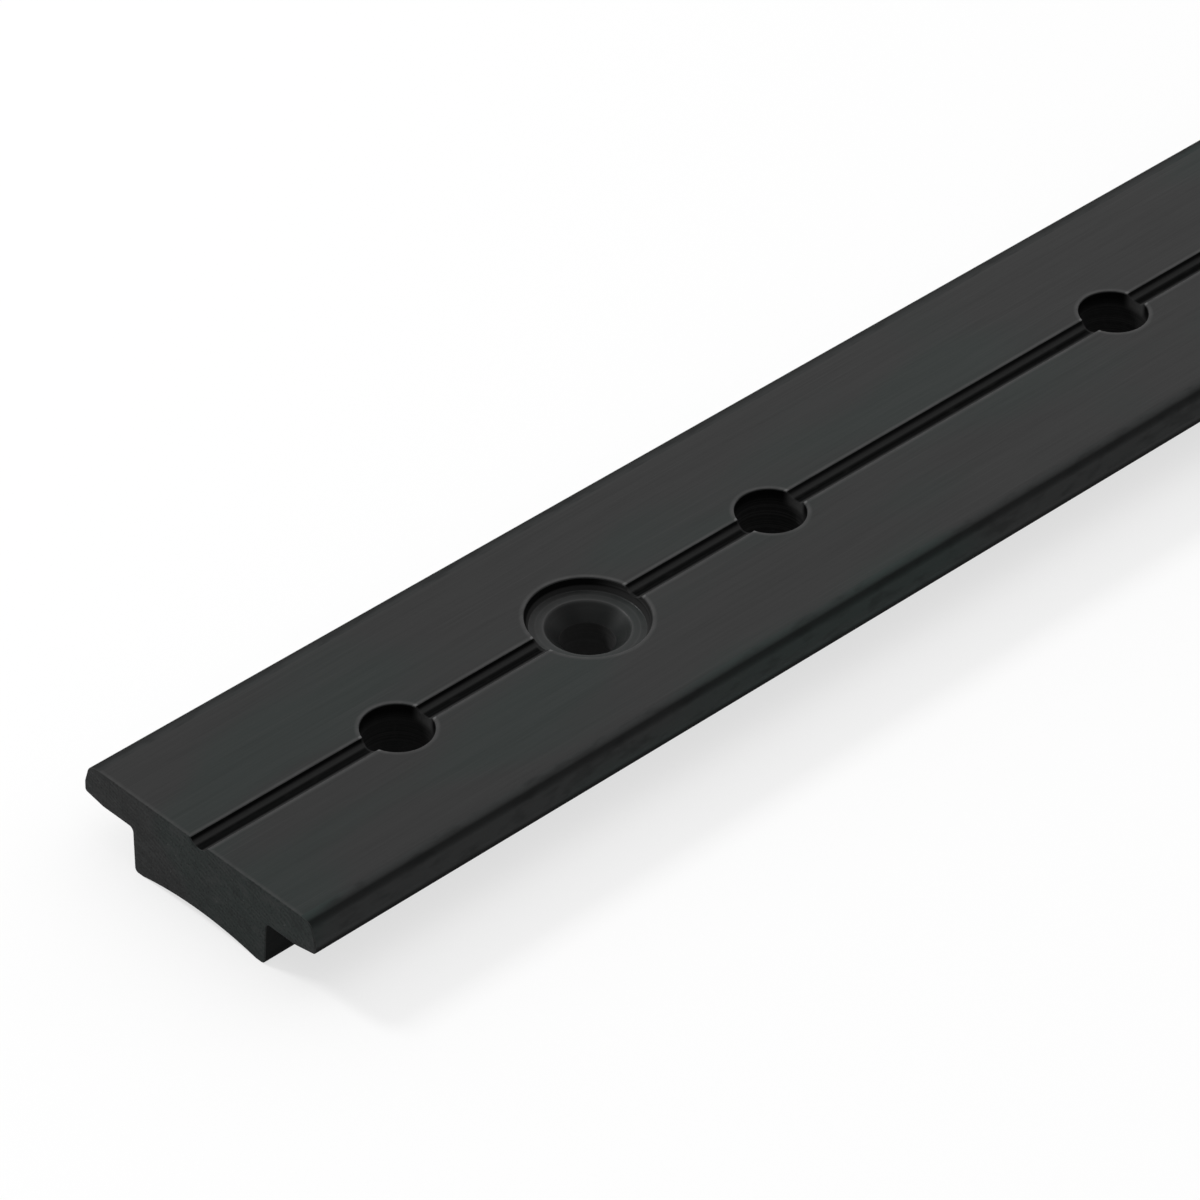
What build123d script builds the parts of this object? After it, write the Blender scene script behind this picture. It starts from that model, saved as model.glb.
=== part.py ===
from build123d import *
import os

os.makedirs("parts", exist_ok=True)

# One straight length of extruded T track for sailing boats, in millimetres.
# +X runs along the track, +Y across it and +Z up. The foot rests on Z = 0.

track_length = 600.0
track_height = 9.0

# Head: the flange that the cars ride on. Above an upright band its sides lean inwards,
# and its underside is bevelled towards the edge.
head_width = 32.0
head_side_band = 1.2
head_side_lean = 0.6
head_edge_thickness = 3.4
head_root_thickness = 3.9
head_bevel_width = 2.6
head_top_radius = 1.0
head_lower_radius = 0.4

# Stem: the narrower foot under the head, slightly tapered downwards and hollowed underneath.
stem_root_width = 18.5
stem_foot_width = 18.1
stem_root_radius = 0.5
stem_foot_radius = 0.5
foot_land_width = 1.2
foot_hollow_depth = 0.8

# Shallow round-bottomed groove along the middle of the head.
groove_width = 2.4
groove_depth = 0.7

# Holes along the groove: fasteners at an even pitch, and a hole for a pin stop a quarter
# of that pitch to each side of every fastener.
fastener_pitch = 100.0
stops_per_fastener = 2
stop_hole_diameter = 7.2

# Fastener hole: a tapered recess with a flat ring, then a countersink and a through hole.
recess_rim_diameter = 12.4
recess_floor_diameter = 11.5
recess_depth = 1.3
countersink_diameter = 8.6
countersink_angle = 90.0
fastener_hole_diameter = 5.5

# Sizes that follow from the ones above.
fastener_count = int(track_length / fastener_pitch)
stop_count = fastener_count * stops_per_fastener
stop_pitch = fastener_pitch / stops_per_fastener
head_half = head_width / 2
head_top_half = head_half - head_side_lean
bevel_start = head_half - head_bevel_width
stem_root_half = stem_root_width / 2
stem_foot_half = stem_foot_width / 2
hollow_half = stem_foot_half - foot_land_width
groove_half = groove_width / 2
groove_floor_z = track_height - groove_depth
head_edge_z = track_height - head_edge_thickness
head_band_z = head_edge_z + head_side_band
head_root_z = track_height - head_root_thickness
recess_floor_z = track_height - recess_depth


def corners(section, y, z):
    """The two corners of the section at height z, one on each side at distance y."""
    return [v for v in section.vertices() if abs(abs(v.X) - y) < 0.01 and abs(v.Y - z) < 0.01]


with BuildPart() as sail_track:
    with BuildSketch(Plane.YZ) as section:
        with BuildLine():
            side = [
                (groove_half, track_height),
                (head_top_half, track_height),
                (head_half, head_band_z),
                (head_half, head_edge_z),
                (bevel_start, head_root_z),
                (stem_root_half, head_root_z),
                (stem_foot_half, 0),
                (hollow_half, 0),
            ]
            Polyline(*side)
            Polyline(*[(-y, z) for y, z in side])
            ThreePointArc(side[0], (0, groove_floor_z), (-groove_half, track_height))
            ThreePointArc(side[-1], (0, foot_hollow_depth), (-hollow_half, 0))
        make_face()
        fillet(corners(section, head_top_half, track_height), head_top_radius)
        fillet(corners(section, head_half, head_edge_z), head_lower_radius)
        fillet(corners(section, stem_root_half, head_root_z), stem_root_radius)
        fillet(corners(section, stem_foot_half, 0), stem_foot_radius)
    extrude(amount=track_length / 2, both=True)

    with GridLocations(stop_pitch, 0, stop_count, 1):
        Hole(stop_hole_diameter / 2)

    with Locations((0, 0, recess_floor_z)):
        with GridLocations(fastener_pitch, 0, fastener_count, 1):
            Cone(
                recess_floor_diameter / 2,
                recess_rim_diameter / 2,
                recess_depth,
                align=(Align.CENTER, Align.CENTER, Align.MIN),
                mode=Mode.SUBTRACT,
            )
            CounterSinkHole(
                fastener_hole_diameter / 2,
                countersink_diameter / 2,
                counter_sink_angle=countersink_angle,
            )

sail_track.part.label = "sail_track"
export_step(sail_track.part, "parts/sail_track.step")
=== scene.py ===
import math

import bmesh
import bpy
from mathutils import Matrix, Vector


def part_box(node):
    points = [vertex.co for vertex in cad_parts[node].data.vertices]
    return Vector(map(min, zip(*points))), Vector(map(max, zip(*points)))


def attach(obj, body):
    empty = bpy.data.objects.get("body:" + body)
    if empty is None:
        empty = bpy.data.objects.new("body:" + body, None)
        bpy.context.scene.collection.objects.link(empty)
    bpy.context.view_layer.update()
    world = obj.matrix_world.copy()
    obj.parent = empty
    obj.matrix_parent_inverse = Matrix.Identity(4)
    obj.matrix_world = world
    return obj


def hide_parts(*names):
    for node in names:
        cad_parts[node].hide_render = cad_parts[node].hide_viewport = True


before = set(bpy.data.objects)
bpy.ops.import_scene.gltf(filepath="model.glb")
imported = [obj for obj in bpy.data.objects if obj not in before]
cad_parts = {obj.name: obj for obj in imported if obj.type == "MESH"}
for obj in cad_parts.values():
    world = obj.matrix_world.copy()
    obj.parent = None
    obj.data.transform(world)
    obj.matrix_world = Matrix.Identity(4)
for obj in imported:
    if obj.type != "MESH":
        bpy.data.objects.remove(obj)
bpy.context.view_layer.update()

MM = 0.001

# Sizes in millimetres. Length, width and height come from the frame.
lowest, highest = (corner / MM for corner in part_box("sail_track"))
track_length = highest.x - lowest.x
track_height = highest.z - lowest.z
head_width = highest.y - lowest.y
head_side_band = 1.2
head_side_lean = 0.6
head_edge_thickness = 3.4
head_root_thickness = 3.9
head_bevel_width = 2.6
head_top_radius = 1.0
head_lower_radius = 0.4
stem_root_width = 18.5
stem_foot_width = 18.1
stem_root_radius = 0.5
stem_foot_radius = 0.5
foot_land_width = 1.2
foot_hollow_depth = 0.8
groove_width = 2.4
groove_depth = 0.7
fastener_pitch = 100.0
stops_per_fastener = 2
stop_hole_diameter = 7.2
recess_rim_diameter = 12.4
recess_floor_diameter = 11.5
recess_depth = 1.3
countersink_diameter = 8.6
countersink_angle = 90.0
fastener_hole_diameter = 5.5

# The top face falls away a little before it reaches the edge's radius.
ease_width = 1.3
ease_drop = 0.17
ease_radius = 9.0

# Broken edges that the solids leave sharp.
soft_edge = 0.3
lip_radius = 0.15
end_break = 0.12
rim_break = 0.16
seat_edge_radius = 0.15
bore_edge_radius = 0.1

# How far below the top face its finish reaches, at the groove's lips and at the head's shoulders.
lip_finish_depth = 0.07
shoulder_finish_depth = 0.008

# How far the hole cutters reach past the track, above and below it.
cutter_margin = 2.0

groove_half = groove_width / 2
fastener_count = int(track_length / fastener_pitch)

# Each row of holes: their number and their pitch.
fastener_row = (fastener_count, fastener_pitch)
stop_row = (fastener_count * stops_per_fastener, fastener_pitch / stops_per_fastener)


def grey(level):
    """A neutral linear colour."""
    return (level, level, level)


def near_black(level):
    """A dark linear colour with the dye's faint cool tint."""
    return (level, 1.05 * level, 1.05 * level)


class Graph:
    """Short calls that add nodes to a node tree and link them."""

    def __init__(self, tree):
        self.nodes, self.links = tree.nodes, tree.links

    def feed(self, socket, value):
        """Links another node's output to a socket, or sets the socket's own value."""
        if isinstance(value, bpy.types.NodeSocket):
            self.links.new(value, socket)
        else:
            socket.default_value = value

    def node(self, kind, settings=(), **inputs):
        made = self.nodes.new(kind)
        for name, value in dict(settings).items():
            setattr(made, name, value)
        for name, value in inputs.items():
            self.feed(made.inputs[name], value)
        return made

    def math(self, operation, *values):
        made = self.node("ShaderNodeMath", {"operation": operation})
        for socket, value in zip(made.inputs, values):
            self.feed(socket, value)
        return made.outputs["Value"]

    def times(self, first, second):
        return self.math("MULTIPLY", first, second)

    def most(self, first, second):
        return self.math("MAXIMUM", first, second)

    def vector(self, operation, first, second=None, **inputs):
        made = self.node("ShaderNodeVectorMath", {"operation": operation}, **inputs)
        self.feed(made.inputs[0], first)
        if second is not None:
            self.feed(made.inputs[1], second)
        return made.outputs["Value" if operation in ("LENGTH", "DOT_PRODUCT") else "Vector"]

    def ramp(self, value, start, end, low=0.0, high=1.0):
        """A smooth step from low to high as the value goes from start to end."""
        made = self.node("ShaderNodeMapRange", {"interpolation_type": "SMOOTHSTEP"}, Value=value)
        limits = {"From Min": start, "From Max": end, "To Min": low, "To Max": high}
        for name, number in limits.items():
            made.inputs[name].default_value = number
        return made.outputs["Result"]


class Finish(Graph):
    """A Principled material, with calls for what its surfaces share. Places are in millimetres."""

    def __init__(self, name, gloss):
        self.material = bpy.data.materials.new(name)
        self.material.use_nodes = True
        super().__init__(self.material.node_tree)
        self.shader = self.nodes["Principled BSDF"]
        self.shader.inputs["Specular IOR Level"].default_value = gloss
        metres = self.node("ShaderNodeTexCoord").outputs["Object"]
        self.place = self.vector("SCALE", metres, Scale=1 / MM)
        self.along, self.side, self.up = self.node("ShaderNodeSeparateXYZ", Vector=self.place).outputs
        self.across = self.math("ABSOLUTE", self.side)
        self.depth = self.math("SUBTRACT", track_height, self.up)

    def noise(self, place, detail):
        return self.node("ShaderNodeTexNoise", Vector=place, Scale=1.0, Detail=detail).outputs["Fac"]

    def grain(self, along, side, up, detail=2.0):
        """Noise whose features have about this size in each direction."""
        return self.noise(self.vector("DIVIDE", self.place, (along, side, up)), detail)

    def specks(self, size, share):
        """Small scattered spots: 1 in a spot and 0 elsewhere."""
        return self.ramp(self.grain(size, size, size, detail=1.0), 1 - share, 1 - share + 0.05)

    def blend(self, first, second, share, strength=1.0):
        """A colour between two others. The second has the given share, times the strength."""
        made = self.node("ShaderNodeMix", {"data_type": "RGBA"})
        factor, colour_a, colour_b = made.inputs[0], made.inputs[6], made.inputs[7]
        self.feed(factor, self.times(share, strength))
        for socket, colour in ((colour_a, first), (colour_b, second)):
            self.feed(socket, (*colour, 1) if isinstance(colour, tuple) else colour)
        return made.outputs[2]

    def dyed(self, neutral, green):
        """The dye's colour, which drifts a little to green in soft patches."""
        return self.blend(neutral, green, self.ramp(self.grain(26, 11, 11, detail=1.0), 0.47, 0.66))

    def relief(self, height, depth, under=None):
        """A bump as deep as the depth where the height goes from 0 to 1."""
        made = self.node("ShaderNodeBump", Height=height, Strength=1.0, Distance=depth * MM)
        if under is not None:
            self.feed(made.inputs["Normal"], under)
        return made.outputs["Normal"]

    def from_end(self):
        """Distance from the nearer end of the track."""
        return self.math("SUBTRACT", track_length / 2, self.math("ABSOLUTE", self.along))

    def past_hole(self, row):
        """How far past the nearest hole of a row a place is, towards the track's +X end."""
        count, pitch = row
        shifted = self.math("ADD", self.along, (count - 1) / 2 * pitch)
        return self.math("WRAP", shifted, pitch / 2, -pitch / 2)

    def from_hole(self, row):
        """Distance from the axis of the nearest hole of a row."""
        level = self.node("ShaderNodeCombineXYZ", X=self.past_hole(row), Y=self.side)
        return self.vector("LENGTH", level.outputs["Vector"])

    def inside(self, row, radius):
        """1 within about this distance of the axes of a row's holes, and 0 further out."""
        return self.ramp(self.from_hole(row), radius + 0.5, radius - 0.5)

    def round_holes(self, full, gone):
        """1 up to one distance from the edge of any hole, fading to 0 at another."""
        edges = ((stop_row, stop_hole_diameter / 2), (fastener_row, recess_rim_diameter / 2))
        return self.most(*(self.ramp(self.from_hole(row), edge + gone, edge + full) for row, edge in edges))

    def done(self, colour, roughness, normal):
        self.feed(self.shader.inputs["Base Color"], colour)
        self.feed(self.shader.inputs["Roughness"], roughness)
        self.feed(self.shader.inputs["Normal"], normal)
        return self.material


def brushed_top():
    """The top face: fine lengthwise brushing, with wear and a painted edge highlight along the groove, the
    holes and the ends, and a painted glint where the groove meets a hole.
    """
    f = Finish("brushed_top", gloss=0.14)
    fine = f.grain(7.0, 0.24, 0.24, detail=3.0)
    wide = f.grain(45.0, 1.3, 1.3)
    pits = f.grain(0.35, 0.3, 0.3, detail=1.0)
    streaks = f.math("ADD", f.times(fine, 0.6), f.times(wide, 0.4))
    scratches = f.ramp(f.grain(24.0, 0.1, 0.1, detail=0.0), 0.7, 0.76)

    colour = f.dyed((0.0175, 0.0175, 0.0175), (0.0145, 0.0190, 0.0178))
    colour = f.blend(colour, grey(0.029), f.ramp(streaks, 0.42, 0.72), 0.17)
    colour = f.blend(colour, near_black(0.006), f.ramp(streaks, 0.5, 0.28), 0.17)
    colour = f.blend(colour, grey(0.035), scratches, 0.25)

    # Wear and a painted edge highlight along the groove's lips, the hole rims and the ends.
    lips = f.ramp(f.across, groove_half + 0.5, groove_half + 0.12)
    rims = f.round_holes(full=0.2, gone=0.6)
    ends = f.ramp(f.from_end(), 0.6, 0.15, high=0.7)
    wear_and_highlight = f.most(f.most(lips, rims), ends)
    wear_and_highlight = f.times(wear_and_highlight, f.ramp(f.grain(3.0, 1.0, 1.0), 0.3, 0.65, low=0.55))
    colour = f.blend(colour, grey(0.045), wear_and_highlight, 0.85)
    # A painted glint where the groove's lips meet a hole's rim.
    corners = f.ramp(f.times(lips, rims), 0.3, 0.9)
    colour = f.blend(colour, grey(0.12), corners, 0.6)

    roughness = f.ramp(streaks, 0.3, 0.7, 0.45, 0.38)
    normal = f.relief(pits, 0.0025, under=f.relief(fine, 0.004))
    return f.done(colour, roughness, normal)


def extruded_side():
    """The head's sides, the underside and the foot: long faint lines from the die."""
    f = Finish("extruded_side", gloss=0.02)
    lines = f.grain(180.0, 0.22, 0.22, detail=3.0)
    patches = f.grain(3.0, 1.0, 1.0)

    colour = f.dyed((0.0350, 0.0362, 0.0362), (0.0310, 0.0391, 0.0374))
    colour = f.blend(colour, grey(0.038), f.ramp(lines, 0.45, 0.8), 0.5)
    colour = f.blend(colour, near_black(0.013), f.ramp(patches, 0.55, 0.25), 0.4)
    colour = f.blend(colour, grey(0.05), f.specks(0.5, share=0.26), 0.2)

    # Painted shade from the head's lower edge down, where the head shades the underside and the stem, and a
    # painted dark line along its rounded shoulder for the dark reflection there.
    low = f.ramp(f.depth, head_edge_thickness - 0.95, head_edge_thickness - 0.45, high=0.85)
    shoulder_shade = f.times(f.ramp(f.depth, 0.85, 0.1, high=0.8), f.ramp(f.depth, 0.0, ease_drop))
    colour = f.blend(colour, near_black(0.004), f.most(low, shoulder_shade))

    roughness = f.ramp(lines, 0.3, 0.7, 0.56, 0.46)
    normal = f.relief(patches, 0.004, under=f.relief(lines, 0.005))
    return f.done(colour, roughness, normal)


def groove_wall():
    """The groove: painted nearly black for the shade inside it, with lighter flanks, and a painted
    highlight where a hole cuts it off.
    """
    f = Finish("groove_wall", gloss=0.01)
    lines = f.grain(120.0, 0.16, 0.16, detail=3.0)
    dirt = f.grain(2.2, 0.7, 0.7, detail=3.0)

    # Painted shade: much darker than the top, darkest at the groove's bottom and next to its lips, with
    # lighter flanks between.
    colour = f.blend(near_black(0.0015), near_black(0.0045), f.ramp(lines, 0.35, 0.7))
    flanks = f.ramp(f.across, 0.25 * groove_half, 0.5 * groove_half)
    flanks = f.times(flanks, f.ramp(f.across, 0.87 * groove_half, 0.62 * groove_half))
    colour = f.blend(colour, grey(0.031), flanks, 0.85)
    colour = f.blend(colour, (0.018, 0.0178, 0.0172), f.ramp(dirt, 0.55, 0.75), 0.2)
    # A painted highlight where a hole cuts the groove off.
    colour = f.blend(colour, grey(0.03), f.round_holes(full=0.08, gone=0.25), 0.45)

    roughness = f.ramp(dirt, 0.3, 0.7, 0.5, 0.66)
    return f.done(colour, roughness, f.relief(lines, 0.005))


def sawn_end():
    """The sawn ends: shallow arcs left by a round blade, and a light line round the edge that is partly
    wear and partly a painted highlight.
    """
    f = Finish("sawn_end", gloss=0.04)
    blade_radius = 150.0
    blade_centre = (0.0, 60.0, -blade_radius)
    arc_spacing = 0.55
    from_centre = f.vector("MULTIPLY", f.vector("SUBTRACT", f.place, blade_centre), (0.0, 1.0, 1.0))
    drift = f.times(f.grain(9.0, 9.0, 4.0, detail=1.0), 3.0)
    reach = f.math("ADD", f.vector("LENGTH", from_centre), drift)
    wave = f.math("SINE", f.times(reach, 2 * math.pi / arc_spacing))
    arcs = f.times(f.ramp(wave, -1.0, 1.0), f.grain(1.0, 2.2, 0.5))
    grit = f.grain(0.3, 0.25, 0.25)
    mottle = f.grain(1.6, 1.6, 1.3)

    colour = f.dyed((0.0275, 0.0284, 0.0284), (0.0245, 0.0304, 0.0290))
    colour = f.blend(colour, grey(0.040), f.ramp(arcs, 0.25, 0.65), 0.5)
    colour = f.blend(colour, near_black(0.010), f.ramp(grit, 0.5, 0.25), 0.55)
    colour = f.blend(colour, (0.040, 0.0412, 0.0412), f.ramp(mottle, 0.5, 0.72), 0.5)
    colour = f.blend(colour, near_black(0.017), f.ramp(mottle, 0.48, 0.28), 0.45)
    colour = f.blend(colour, grey(0.08), f.specks(0.45, share=0.27), 0.35)
    # Wear and a painted highlight in a light line round the broken edge.
    edge = f.times(f.ramp(f.from_end(), 0.02, 0.09), f.ramp(grit, 0.3, 0.6, low=0.3))
    colour = f.blend(colour, grey(0.045), edge, 0.5)

    roughness = f.ramp(grit, 0.3, 0.7, 0.6, 0.5)
    normal = f.relief(grit, 0.004, under=f.relief(arcs, 0.009))
    return f.done(colour, roughness, normal)


def drilled_wall():
    """The upright walls of the holes, with fine rings from the drill."""
    f = Finish("drilled_wall", gloss=0.02)
    rings = f.grain(30.0, 30.0, 0.1, detail=1.0)
    streaks = f.grain(0.6, 0.6, 2.0)
    in_bore = f.inside(fastener_row, countersink_diameter / 2)
    in_recess = f.inside(fastener_row, recess_rim_diameter / 2 + 1)
    in_stop = f.inside(stop_row, stop_hole_diameter / 2 + 1)

    colour = f.blend(grey(0.020), grey(0.035), f.ramp(rings, 0.35, 0.7))
    colour = f.blend(colour, grey(0.034), f.ramp(streaks, 0.58, 0.78), 0.5)
    # Painted light: the fastener bore's wall is lighter than the other walls.
    colour = f.blend(colour, grey(0.07), in_bore, 0.5)

    # Painted shade: black near the top of the walls. Round each recess it fades towards the track's +X end,
    # where painted light stands in for the key lamp on that side.
    past = f.math("SUBTRACT", f.past_hole(fastener_row), f.times(f.side, 0.5))
    lit_side_paint = f.times(in_recess, f.ramp(past, 2.0, recess_rim_diameter / 2, high=0.9))
    black = f.times(f.ramp(f.depth, 2.2, 0.6), f.math("SUBTRACT", 0.95, lit_side_paint))
    colour = f.blend(colour, near_black(0.002), black)

    # A painted pool of light in a stop hole's wall, under each of the groove's ends.
    lit_patch = f.times(f.ramp(f.across, groove_half + 0.4, groove_half - 0.5), f.ramp(f.depth, 2.2, 1.2))
    colour = f.blend(colour, grey(0.10), f.times(lit_patch, in_stop), 0.65)

    # Painted light: a lighter band low in the recess's wall.
    band = f.times(f.ramp(f.depth, 0.65, 0.9), f.ramp(f.depth, 1.7, 1.4))
    colour = f.blend(colour, grey(0.03), f.times(band, in_recess), 0.8)

    roughness = f.ramp(rings, 0.3, 0.7, 0.56, 0.46)
    return f.done(colour, roughness, f.relief(rings, 0.006))


def turned_seat():
    """The recess floor and the countersink: clean turned faces with rings round each axis."""
    f = Finish("turned_seat", gloss=0.16)
    radius = f.from_hole(fastener_row)
    section = f.node("ShaderNodeCombineXYZ", X=radius, Z=f.up).outputs["Vector"]
    rings = f.noise(f.vector("DIVIDE", section, (0.16, 1.0, 0.5)), detail=2.0)
    chatter = f.grain(1.4, 1.4, 1.4)

    colour = f.dyed((0.0175, 0.0180, 0.0180), (0.0155, 0.0190, 0.0182))
    colour = f.blend(colour, grey(0.034), f.ramp(rings, 0.45, 0.75), 0.5)
    colour = f.blend(colour, near_black(0.009), f.ramp(chatter, 0.5, 0.25), 0.4)
    # Painted shade: the countersink's cone is darker than the recess floor.
    cone = f.ramp(f.depth, recess_depth + 0.05, recess_depth + 0.3)
    colour = f.blend(colour, near_black(0.006), cone, 0.65)
    # A painted highlight in a light ring round the countersink's mouth.
    mouth_radius = countersink_diameter / 2
    mouth = f.ramp(radius, mouth_radius - 0.22, mouth_radius)
    mouth = f.times(mouth, f.ramp(radius, mouth_radius + 0.3, mouth_radius))
    colour = f.blend(colour, grey(0.05), mouth, 0.35)

    roughness = f.ramp(rings, 0.3, 0.7, 0.44, 0.35)
    return f.done(colour, roughness, f.relief(rings, 0.004))


# A face's finish is its material index, so the two lines name the finishes in one order.
finishes = [brushed_top(), extruded_side(), groove_wall(), sawn_end(), drilled_wall(), turned_seat()]
TOP, SIDE, GROOVE, END, WALL, SEAT = range(len(finishes))


def hole_places(count, pitch):
    """Distances along the track of a row of holes centred on it."""
    return [(n - (count - 1) / 2) * pitch for n in range(count)]


def arc(centre, radius, start, end, steps):
    """Points of a circular arc, from one angle to the other in radians."""
    angles = [start + (end - start) * n / steps for n in range(steps + 1)]
    return [centre + Vector((math.cos(a), math.sin(a))) * radius for a in angles]


def rounded(corners, steps=8):
    """An open path through corners of (across, up, radius), each one turned into an arc."""
    places = [Vector(c[:2]) for c in corners]
    path = [places[0]]
    for n in range(1, len(corners) - 1):
        before, corner, after = places[n - 1 : n + 2]
        radius = corners[n][2]
        if radius == 0:
            path.append(corner)
            continue
        back, ahead = (before - corner).normalized(), (after - corner).normalized()
        half = back.angle(ahead) / 2
        centre = corner + (back + ahead).normalized() * radius / math.sin(half)
        first = corner + back * radius / math.tan(half) - centre
        last = corner + ahead * radius / math.tan(half) - centre
        start = math.atan2(first.y, first.x)
        turn = math.atan2(first.cross(last), first.dot(last))
        path += arc(centre, radius, start, start + turn, steps)
    return path + [places[-1]]


def section_outline():
    """The section's closed outline as (across, up) points, from the groove round to the groove."""
    groove_radius = (groove_half**2 + groove_depth**2) / (2 * groove_depth)
    groove_centre = Vector((0, track_height - groove_depth + groove_radius))
    drop = groove_centre.y - (track_height - lip_radius)
    lip_across = math.sqrt((groove_radius + lip_radius) ** 2 - drop**2)
    lip_centre = Vector((lip_across, track_height - lip_radius))
    meet = math.atan2(-drop, lip_across)
    groove = arc(groove_centre, groove_radius, -math.pi / 2, meet, 14)
    lip = arc(lip_centre, lip_radius, math.pi + meet, math.pi / 2, 5)

    head_half = head_width / 2
    head_top_half = head_half - head_side_lean
    edge_z = track_height - head_edge_thickness
    root_z = track_height - head_root_thickness
    foot_half = stem_foot_width / 2
    hollow_half = foot_half - foot_land_width
    flank = rounded(
        [
            (lip_across, track_height, 0),
            (head_top_half - ease_width, track_height, ease_radius),
            (head_top_half, track_height - ease_drop, head_top_radius),
            (head_half, edge_z + head_side_band, soft_edge),
            (head_half, edge_z, head_lower_radius),
            (head_half - head_bevel_width, root_z, soft_edge),
            (stem_root_width / 2, root_z, stem_root_radius),
            (foot_half, 0, stem_foot_radius),
            (hollow_half, 0, 0),
        ]
    )
    hollow_radius = (hollow_half**2 + foot_hollow_depth**2) / (2 * foot_hollow_depth)
    hollow_centre = Vector((0, foot_hollow_depth - hollow_radius))
    reach = math.asin(hollow_half / hollow_radius)
    hollow = arc(hollow_centre, hollow_radius, math.pi / 2 - reach, math.pi / 2, 12)

    side = groove + lip[1:] + flank[1:] + hollow[1:]
    other_side = [Vector((-p.x, p.y)) for p in side[-2:0:-1]]
    return side + other_side


def strip_finish(place):
    """The finish of the lengthwise strip whose middle is at this place of the section."""
    by_groove = abs(place.x) < groove_width
    if place.y > track_height - (lip_finish_depth if by_groove else shoulder_finish_depth):
        return TOP
    if abs(place.x) < groove_half and place.y > track_height / 2:
        return GROOVE
    return SIDE


def moved_inwards(outline, distance):
    """The outline drawn in by a small distance all round."""
    inner = []
    for before, here, after in zip(outline[-1:] + outline[:-1], outline, outline[1:] + outline[:1]):
        a, b = (here - before).normalized(), (after - here).normalized()
        normals = Vector((a.y, -a.x)), Vector((b.y, -b.x))
        miter = (normals[0] + normals[1]) / (1 + normals[0].dot(normals[1]))
        inner.append(here + miter * distance)
    return inner


def new_object(name, shape):
    """A new mesh object with every finish, made from a bmesh whose units are millimetres."""
    bmesh.ops.scale(shape, vec=(MM, MM, MM), verts=shape.verts)
    bmesh.ops.recalc_face_normals(shape, faces=shape.faces)
    mesh = bpy.data.meshes.new(name)
    shape.to_mesh(mesh)
    shape.free()
    for material in finishes:
        mesh.materials.append(material)
    made = bpy.data.objects.new(name, mesh)
    bpy.context.scene.collection.objects.link(made)
    return made


def skin(shape, rings, finish_of, end_finish):
    """Closes a row of rings of points into a solid. finish_of gives a face's finish from its corners."""
    for ring, following in zip(rings, rings[1:]):
        for n in range(len(ring)):
            face = shape.faces.new((ring[n - 1], ring[n], following[n], following[n - 1]))
            face.material_index = finish_of(ring[n - 1].co, ring[n].co, following[n].co)
    for ring in (rings[0], rings[-1]):
        shape.faces.new(ring).material_index = end_finish


def extrusion():
    """The undrilled track, with both sawn ends broken all round."""
    outline = section_outline()
    steps = 3
    stations = []
    for n in range(steps + 1):
        angle = math.pi / 2 * n / steps
        along = end_break * (1 - math.cos(angle)) - track_length / 2
        stations.append((along, end_break * (1 - math.sin(angle))))
    stations += [(-along, inset) for along, inset in reversed(stations)]

    shape = bmesh.new()
    rings = []
    for along, inset in stations:
        points = moved_inwards(outline, inset)
        rings.append([shape.verts.new((along, p.x, p.y)) for p in points])

    def finish_of(first, second, ahead):
        if abs(ahead.x - second.x) < end_break:
            return END
        return strip_finish((first.yz + second.yz) / 2)

    skin(shape, rings, finish_of, END)
    return new_object("track_body", shape)


def rim(radius):
    """The top of a hole's profile: its wall, the broken rim, and a wall above the track."""
    knee = 0.3 * rim_break
    outside = radius + 2 * rim_break - knee
    return [
        (radius, track_height - rim_break, 0),
        (radius + knee, track_height - knee, 0),
        (outside, track_height + knee, 0),
        (outside, track_height + cutter_margin, 0),
    ]


def turned_cutter(shape, along, profile, steps=96):
    """Adds a solid of revolution that stands upright on the track's middle."""
    turns = [2 * math.pi * n / steps for n in range(steps)]
    rings = []
    for radius, up in profile:
        ring = [(along + radius * math.cos(turn), radius * math.sin(turn), up) for turn in turns]
        rings.append([shape.verts.new(place) for place in ring])

    wall_slope = 1.5

    def finish_of(first, second, above):
        if (second.z + above.z) / 2 > track_height - rim_break:
            return TOP
        rise = abs(above.z - second.z)
        run = (above.xy - second.xy).length
        return WALL if rise > wall_slope * run else SEAT

    skin(shape, rings, finish_of, WALL)


def hole_cutters():
    """One mesh with the shape of every hole."""
    stop_radius = stop_hole_diameter / 2
    stop_profile = rounded([(stop_radius, -cutter_margin, 0)] + rim(stop_radius))
    bore = fastener_hole_diameter / 2
    sink = countersink_diameter / 2
    sink_depth = (sink - bore) / math.tan(math.radians(countersink_angle / 2))
    floor_z = track_height - recess_depth
    fastener_profile = rounded(
        [
            (bore, -cutter_margin, 0),
            (bore, floor_z - sink_depth, bore_edge_radius),
            (sink, floor_z, seat_edge_radius),
            (recess_floor_diameter / 2, floor_z, seat_edge_radius),
        ]
        + rim(recess_rim_diameter / 2),
        steps=4,
    )
    shape = bmesh.new()
    for along in hole_places(*stop_row):
        turned_cutter(shape, along, stop_profile)
    for along in hole_places(*fastener_row):
        turned_cutter(shape, along, fastener_profile)
    return new_object("hole_cutters", shape)


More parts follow.
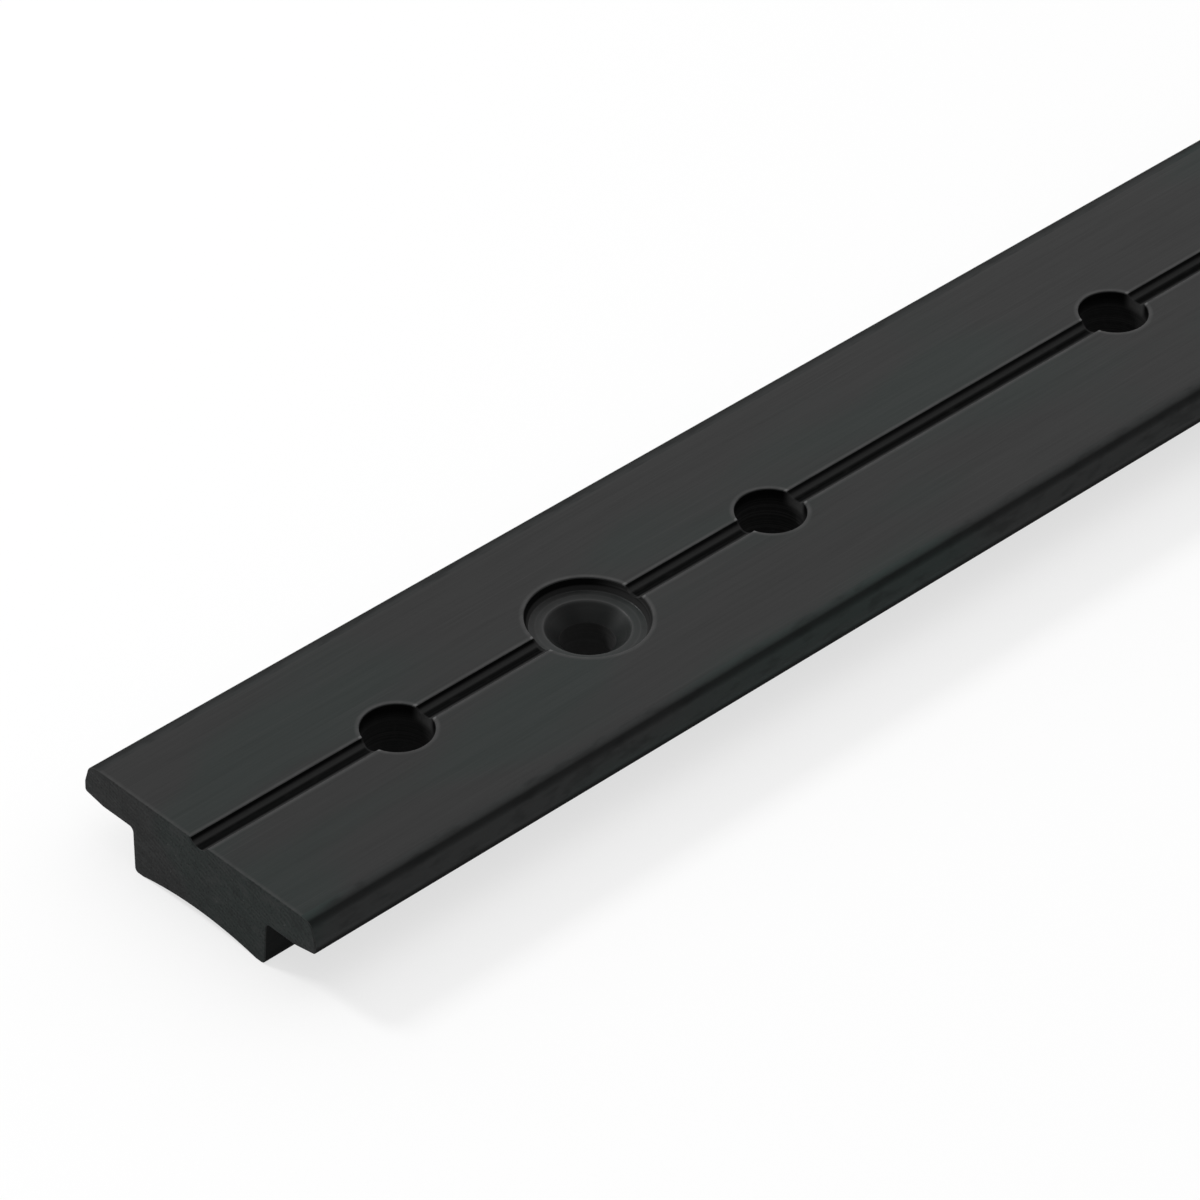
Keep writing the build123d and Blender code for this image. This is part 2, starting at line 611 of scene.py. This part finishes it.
def drilled_track():
    """The finished track: the extrusion with all its holes cut."""
    track, cutters = extrusion(), hole_cutters()
    cut = track.modifiers.new("holes", "BOOLEAN")
    cut.operation = "DIFFERENCE"
    cut.solver = "EXACT"
    cut.object = cutters
    evaluated = track.evaluated_get(bpy.context.evaluated_depsgraph_get())
    mesh = bpy.data.meshes.new_from_object(evaluated)
    mesh.name = "track_body"
    track.modifiers.clear()
    track.data = mesh
    bpy.data.objects.remove(cutters)

    # Points that the cut left on top of each other become one.
    same_place = 0.001 * MM
    shape = bmesh.new()
    shape.from_mesh(mesh)
    bmesh.ops.remove_doubles(shape, verts=shape.verts, dist=same_place)
    shape.to_mesh(mesh)
    shape.free()

    sharp_angle = math.radians(28)
    mesh.shade_smooth()
    mesh.set_sharp_from_angle(angle=sharp_angle)
    track.modifiers.new("even_shading", "WEIGHTED_NORMAL").keep_sharp = True
    return track


def floor_material():
    """White to the camera and in mirrors and glass, but plain pale paint to the light."""
    paint_level = 0.95
    glow_share = 0.7
    material = bpy.data.materials.new("floor_white")
    material.use_nodes = True
    g = Graph(material.node_tree)
    paint = g.nodes["Principled BSDF"]
    paint.inputs["Base Color"].default_value = (*grey(paint_level), 1)
    paint.inputs["Roughness"].default_value = 0.9
    ray = g.node("ShaderNodeLightPath").outputs
    mirrored = g.most(ray["Is Glossy Ray"], ray["Is Transmission Ray"])
    seen = g.most(ray["Is Camera Ray"], mirrored)
    mixed = g.node("ShaderNodeMixShader", Fac=g.times(seen, glow_share))
    g.feed(mixed.inputs[1], paint.outputs["BSDF"])
    g.feed(mixed.inputs[2], g.node("ShaderNodeEmission").outputs["Emission"])
    g.feed(g.nodes["Material Output"].inputs["Surface"], mixed.outputs["Shader"])
    return material


def plain_floor():
    """A pale sheet under the track, in metres."""
    half = 6.0
    corners = [(-half, -half, 0), (half, -half, 0), (half, half, 0), (-half, half, 0)]
    mesh = bpy.data.meshes.new("floor")
    mesh.from_pydata(corners, [], [(0, 1, 2, 3)])
    mesh.materials.append(floor_material())
    floor = bpy.data.objects.new("floor", mesh)
    bpy.context.scene.collection.objects.link(floor)
    return floor


def studio_world():
    """A soft studio, brightest high up on the far side of the track."""
    brightest = Vector((0.68, 0.42, 0.6)).normalized()
    dark_level, bright_level = 0.15, 1.15
    world = bpy.data.worlds.new("studio")
    bpy.context.scene.world = world
    world.use_nodes = True
    g = Graph(world.node_tree)
    direction = g.node("ShaderNodeTexCoord").outputs["Generated"]
    lean = g.vector("DOT_PRODUCT", direction, brightest)
    background = g.nodes["Background"]
    background.inputs["Color"].default_value = (1, 1, 1, 1)
    g.feed(background.inputs["Strength"], g.ramp(lean, 0.1, 1.0, dark_level, bright_level))


def soft_lamp(name, place, aim, size, power):
    """A square area lamp at one place in metres, aimed at another."""
    data = bpy.data.lights.new(name, "AREA")
    data.shape = "SQUARE"
    data.size = size
    data.energy = power
    lamp = bpy.data.objects.new(name, data)
    lamp.location = place
    lamp.rotation_mode = "QUATERNION"
    lamp.rotation_quaternion = (Vector(aim) - Vector(place)).to_track_quat("-Z", "Y")
    bpy.context.scene.collection.objects.link(lamp)


def photo_camera():
    """The photograph's view: a long lens a short way from the front end."""
    view_centre = Vector((-248.17, 0.27, 9.91)) * MM
    azimuth = math.radians(-45.31)
    elevation = math.radians(37.96)
    roll = math.radians(1.775)
    distance = 0.6428
    forward = Vector((
        -math.sin(azimuth) * math.cos(elevation),
        math.cos(azimuth) * math.cos(elevation),
        -math.sin(elevation),
    ))
    data = bpy.data.cameras.new("camera")
    data.lens = 200.4
    data.clip_start, data.clip_end = 0.01, 50
    camera = bpy.data.objects.new("camera", data)
    camera.location = view_centre - forward * distance
    camera.rotation_mode = "QUATERNION"
    level_view = forward.to_track_quat("-Z", "Y")
    camera.rotation_quaternion = level_view @ Matrix.Rotation(roll, 3, "Z").to_quaternion()
    bpy.context.scene.collection.objects.link(camera)
    return camera


track = drilled_track()
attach(track, "root")
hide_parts("sail_track")

floor = plain_floor()

studio_world()
soft_lamp("overhead", place=(-0.55, -0.3, 1.7), aim=(-0.15, 0, 0), size=1.6, power=6)
soft_lamp("key", place=(-0.67, 1.07, 1.03), aim=(-0.24, 0, 0), size=0.3, power=11)

bpy.context.scene.camera = photo_camera()
bpy.context.scene.view_settings.view_transform = "Standard"
